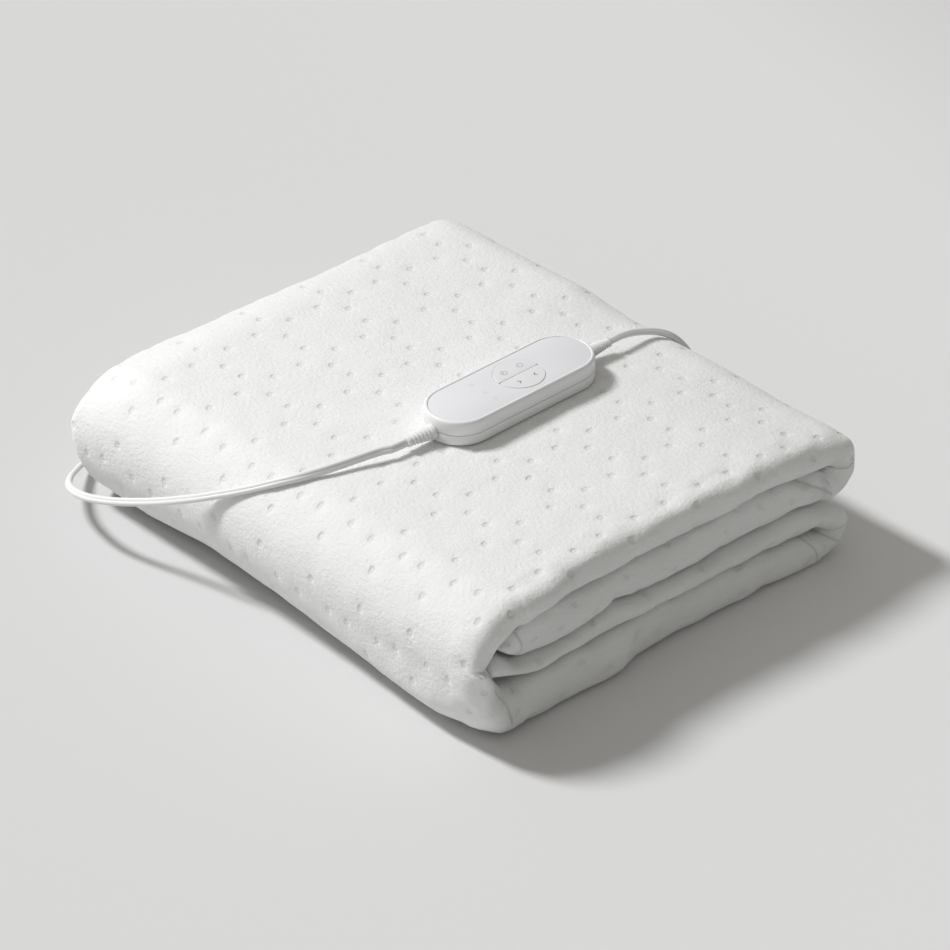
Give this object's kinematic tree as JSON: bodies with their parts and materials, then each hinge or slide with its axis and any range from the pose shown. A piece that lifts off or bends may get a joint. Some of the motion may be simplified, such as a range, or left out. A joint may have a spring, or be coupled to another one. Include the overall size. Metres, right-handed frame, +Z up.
{
  "type": "heated blanket",
  "caption": "Folded white fleece heated underblanket with an oblong hand controller on top, its lead running into the cloth, and a mains lead coiled behind with a flat plug.",
  "frame": {"origin": "middle of the folded blanket's underside, on the surface that it lies on, without the cords and what is on them", "axes": "+X from the open edges of the folded cloth to its rounded lips, +Y from the big outer fold to the back folds, +Z up"},
  "size_m": [0.4558, 0.4446, 0.1207],
  "materials": {
    "fleece": "brushed",
    "shell": "gloss",
    "panel": "satin",
    "key": "satin",
    "soft_plastic": "satin",
    "cord": "satin",
    "plug": "satin",
    "pin": "satin"
  },
  "bodies": {
    "blanket_and_controller": {"blanket": "fleece", "hand_lower_shell": "shell", "hand_upper_shell": "shell", "hand_panel": "panel", "lead_boot": "soft_plastic", "mains_boot": "soft_plastic", "lead_sleeve": "soft_plastic", "lead_cord": "cord", "mains_cord": "cord", "mains_coil": "cord", "mains_tail": "cord", "plug_relief": "plug", "plug_body": "plug", "plug_pin_left": "pin", "plug_pin_right": "pin"},
    "power_timer_key": {"key_power_timer": "key"},
    "up_down_key": {"key_up_down": "key"}
  },
  "joints": [
    {"name": "press_power_timer", "type": "slide", "parent": "blanket_and_controller", "child": "power_timer_key", "axis": [0, 0, -1], "range_m": [0, 0.0005], "stiffness_N_per_m": 2000},
    {"name": "press_up_down", "type": "slide", "parent": "blanket_and_controller", "child": "up_down_key", "axis": [0, 0, -1], "range_m": [0, 0.0005], "stiffness_N_per_m": 2000}
  ]
}
